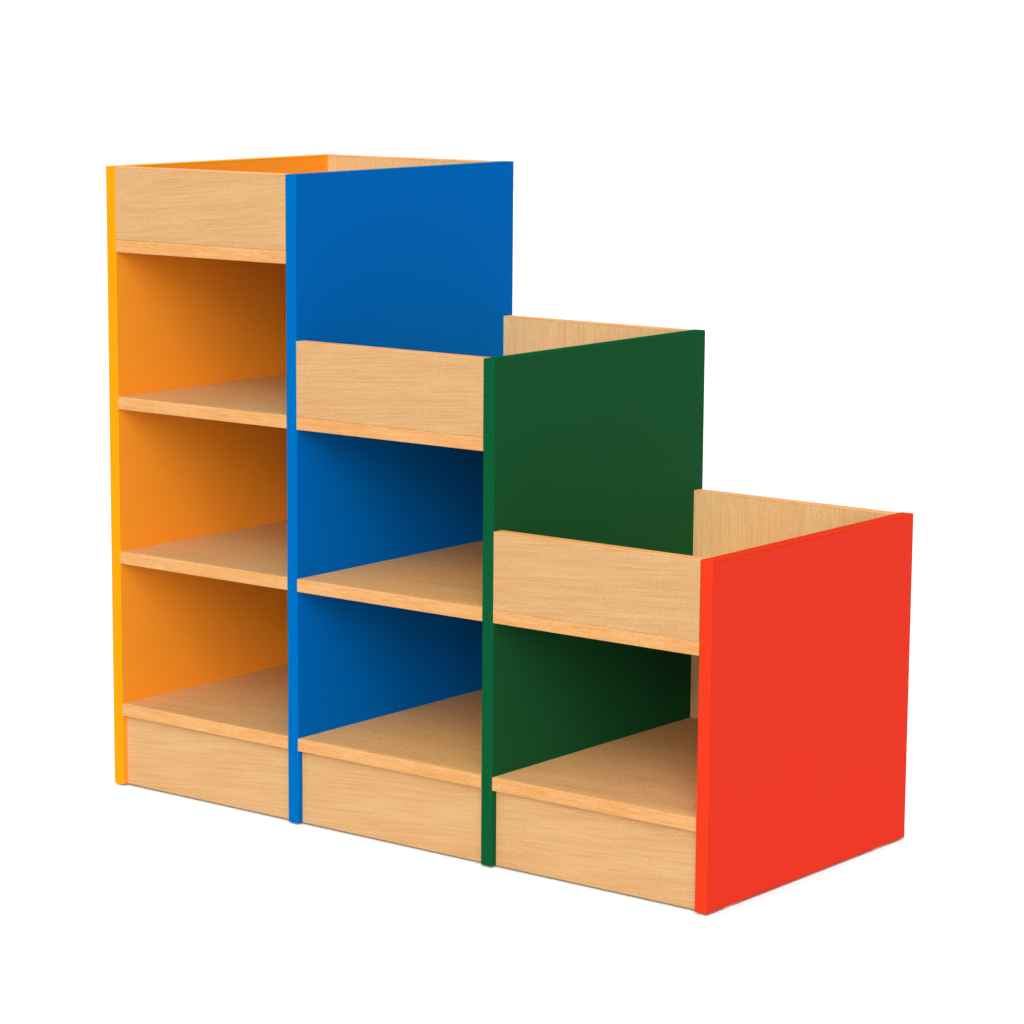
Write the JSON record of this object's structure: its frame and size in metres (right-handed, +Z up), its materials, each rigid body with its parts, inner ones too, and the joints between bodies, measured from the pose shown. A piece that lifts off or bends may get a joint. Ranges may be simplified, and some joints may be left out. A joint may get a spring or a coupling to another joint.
{
  "type": "staircase bookshelf",
  "caption": "Open-fronted bookcase whose bays step down like a staircase, each topped by a fronted book tray, between coloured upright panels.",
  "frame": {"origin": "on the floor under the middle of the footprint; the undersides of the glides are at z = 0", "axes": "+X to the right as seen from the open front, down the stairs; +Y towards the back; +Z up"},
  "size_m": [1.041, 0.48, 0.9],
  "materials": {
    "amber_laminate": "amber melamine face on chipboard, satin",
    "amber_edging": "amber edging strip, satin",
    "blue_laminate": "blue melamine face on chipboard, satin",
    "blue_edging": "blue edging strip, satin",
    "green_laminate": "dark green melamine face on chipboard, satin",
    "green_edging": "green edging strip, satin",
    "red_laminate": "red melamine face on chipboard, satin",
    "red_edging": "red edging strip, satin",
    "beech_laminate": "beech-finish melamine face on chipboard, satin, grain along the shelves and up the backs",
    "beech_edging": "beech-finish edging strip, satin",
    "glide_nylon": "pale grey nylon"
  },
  "bodies": {
    "root": {"amber_end_panel": "amber_laminate", "amber_front_edging": "amber_edging", "amber_top_edging": "amber_edging", "amber_back_edging": "amber_edging", "amber_front_glide": "glide_nylon", "amber_back_glide": "glide_nylon", "blue_divider_panel": "blue_laminate", "blue_front_edging": "blue_edging", "blue_top_edging": "blue_edging", "blue_back_edging": "blue_edging", "blue_front_glide": "glide_nylon", "blue_back_glide": "glide_nylon", "green_divider_panel": "green_laminate", "green_front_edging": "green_edging", "green_top_edging": "green_edging", "green_back_edging": "green_edging", "green_front_glide": "glide_nylon", "green_back_glide": "glide_nylon", "red_end_panel": "red_laminate", "red_front_edging": "red_edging", "red_top_edging": "red_edging", "red_back_edging": "red_edging", "red_front_glide": "glide_nylon", "red_back_glide": "glide_nylon", "tall_base_shelf": "beech_laminate", "tall_base_shelf_edging": "beech_edging", "tall_lower_shelf": "beech_laminate", "tall_lower_shelf_edging": "beech_edging", "tall_upper_shelf": "beech_laminate", "tall_upper_shelf_edging": "beech_edging", "tall_tray_shelf": "beech_laminate", "tall_tray_shelf_edging": "beech_edging", "tall_tray_fascia": "beech_laminate", "tall_tray_fascia_edging": "beech_edging", "tall_back_panel": "beech_laminate", "tall_back_panel_edging": "beech_edging", "tall_plinth": "beech_laminate", "middle_base_shelf": "beech_laminate", "middle_base_shelf_edging": "beech_edging", "middle_centre_shelf": "beech_laminate", "middle_centre_shelf_edging": "beech_edging", "middle_tray_shelf": "beech_laminate", "middle_tray_shelf_edging": "beech_edging", "middle_tray_fascia": "beech_laminate", "middle_tray_fascia_edging": "beech_edging", "middle_back_panel": "beech_laminate", "middle_back_panel_edging": "beech_edging", "middle_plinth": "beech_laminate", "low_base_shelf": "beech_laminate", "low_base_shelf_edging": "beech_edging", "low_tray_shelf": "beech_laminate", "low_tray_shelf_edging": "beech_edging", "low_tray_fascia": "beech_laminate", "low_tray_fascia_edging": "beech_edging", "low_back_panel": "beech_laminate", "low_back_panel_edging": "beech_edging", "low_plinth": "beech_laminate"}
  },
  "joints": []
}
